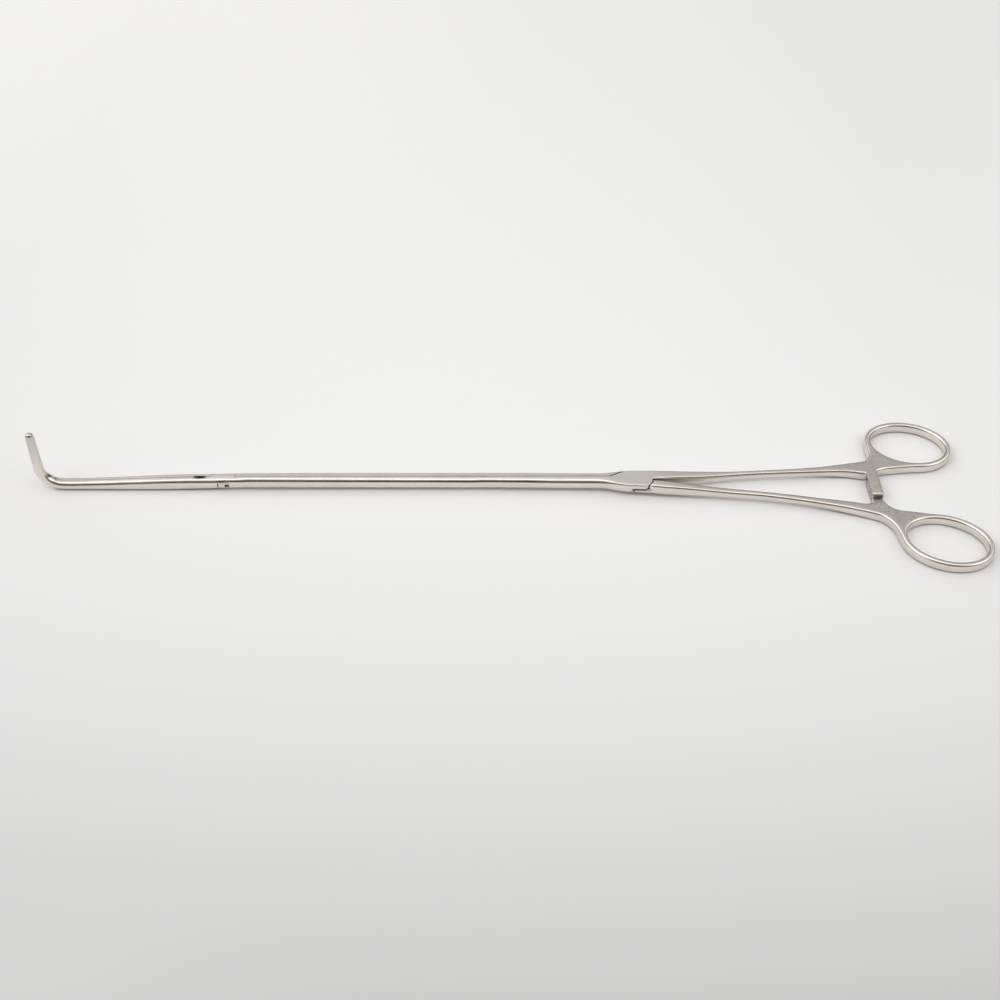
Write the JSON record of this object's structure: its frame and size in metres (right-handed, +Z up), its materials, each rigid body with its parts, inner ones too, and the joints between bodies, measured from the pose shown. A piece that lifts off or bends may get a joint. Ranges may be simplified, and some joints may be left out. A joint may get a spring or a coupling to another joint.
{
  "type": "angled thoracoscopic grasping forceps",
  "caption": "Long slim ring-handled grasping forceps: a ratchet between the handles, a sliding-bar shaft, and fine serrated jaws bent up to a right angle.",
  "frame": {"origin": "middle of the closed instrument's footprint, on the surface it lies on", "axes": "+X along the shaft towards the finger rings, +Y across to the fixed ring's side, +Z up, the way the tip points"},
  "size_m": [0.3316, 0.0725, 0.026],
  "materials": {
    "satin_steel": "satin stainless steel, blasted flats and polished edges",
    "ground_steel": "ground stainless steel"
  },
  "bodies": {
    "frame": {"main_frame": "satin_steel", "handle_pivot_pin": "ground_steel", "jaw_pivot_pin": "ground_steel"},
    "handle": {"moving_handle": "satin_steel", "handle_drive_pin": "ground_steel"},
    "bar": {"sliding_bar": "satin_steel"},
    "jaw": {"moving_jaw": "satin_steel", "jaw_drive_pin": "ground_steel"}
  },
  "joints": [
    {"name": "handle_swing", "type": "hinge", "parent": "frame", "child": "handle", "pos_m": [0.0491, 0.00354, 0.003], "axis": [0, 0, -1], "range_deg": [0, 20]},
    {"name": "bar_swivel", "type": "hinge", "parent": "handle", "child": "bar", "pos_m": [0.04867, 0.006, 0.003], "axis": [0, 0, 1], "range_deg": [0, 20]},
    {"name": "jaw_opening", "type": "hinge", "parent": "frame", "child": "jaw", "pos_m": [-0.0999, 0.00405, 0.003], "axis": [0, 0, -1], "range_deg": [0, 25]}
  ],
  "couplings": [
    {"joint": "bar_swivel", "follows": "handle_swing", "ratio": 1},
    {"joint": "jaw_opening", "follows": "handle_swing", "ratio": 1.25}
  ]
}
